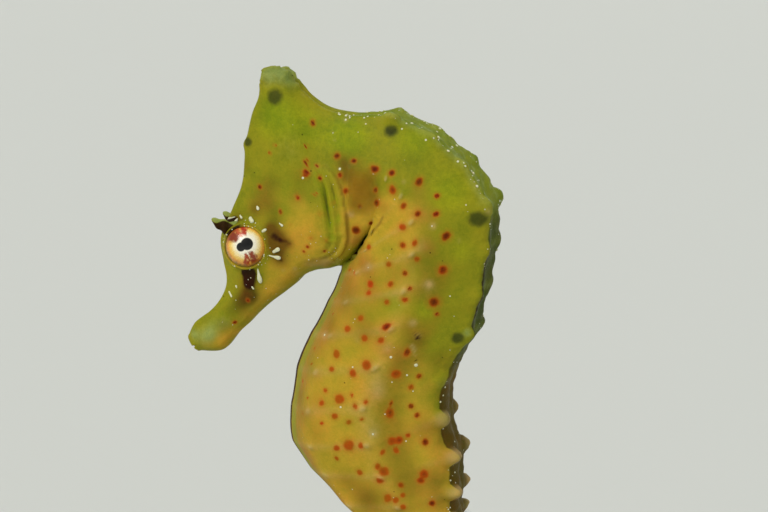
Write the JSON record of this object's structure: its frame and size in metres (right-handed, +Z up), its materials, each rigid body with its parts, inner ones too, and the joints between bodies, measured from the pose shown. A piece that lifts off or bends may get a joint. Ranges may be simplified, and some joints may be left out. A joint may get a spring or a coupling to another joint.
{
  "type": "seahorse",
  "caption": "Life-size still model of a yellow seahorse in its armour of bony rings, upright with a curled tail, on a plain round display stand.",
  "frame": {"origin": "centre of the stand's underside", "axes": "+Z up; the animal faces -X and its left side faces -Y"},
  "size_m": [0.064, 0.064, 0.1172],
  "materials": {
    "skin": "moist yellow-olive skin over bony plates, with rust spots",
    "eye": "clear wet cornea over a silver and gold iris",
    "fin": "thin translucent membrane on fine rays",
    "wood": "dark oiled walnut, turned",
    "brass": "satin drawn brass rod"
  },
  "bodies": {
    "root": {"snout": "skin", "head": "skin", "coronet": "skin", "eye_left": "eye", "eye_right": "eye", "neck": "skin", "trunk_front": "skin", "trunk_rear": "skin", "tail_1": "skin", "tail_2": "skin", "tail_3": "skin", "tail_4": "skin", "tail_5": "skin", "tail_6": "skin", "tail_7": "skin", "pectoral_fin_left": "fin", "pectoral_fin_right": "fin", "dorsal_fin": "fin", "anal_fin": "fin", "stand_base": "wood", "stand_rod": "brass"}
  },
  "joints": []
}
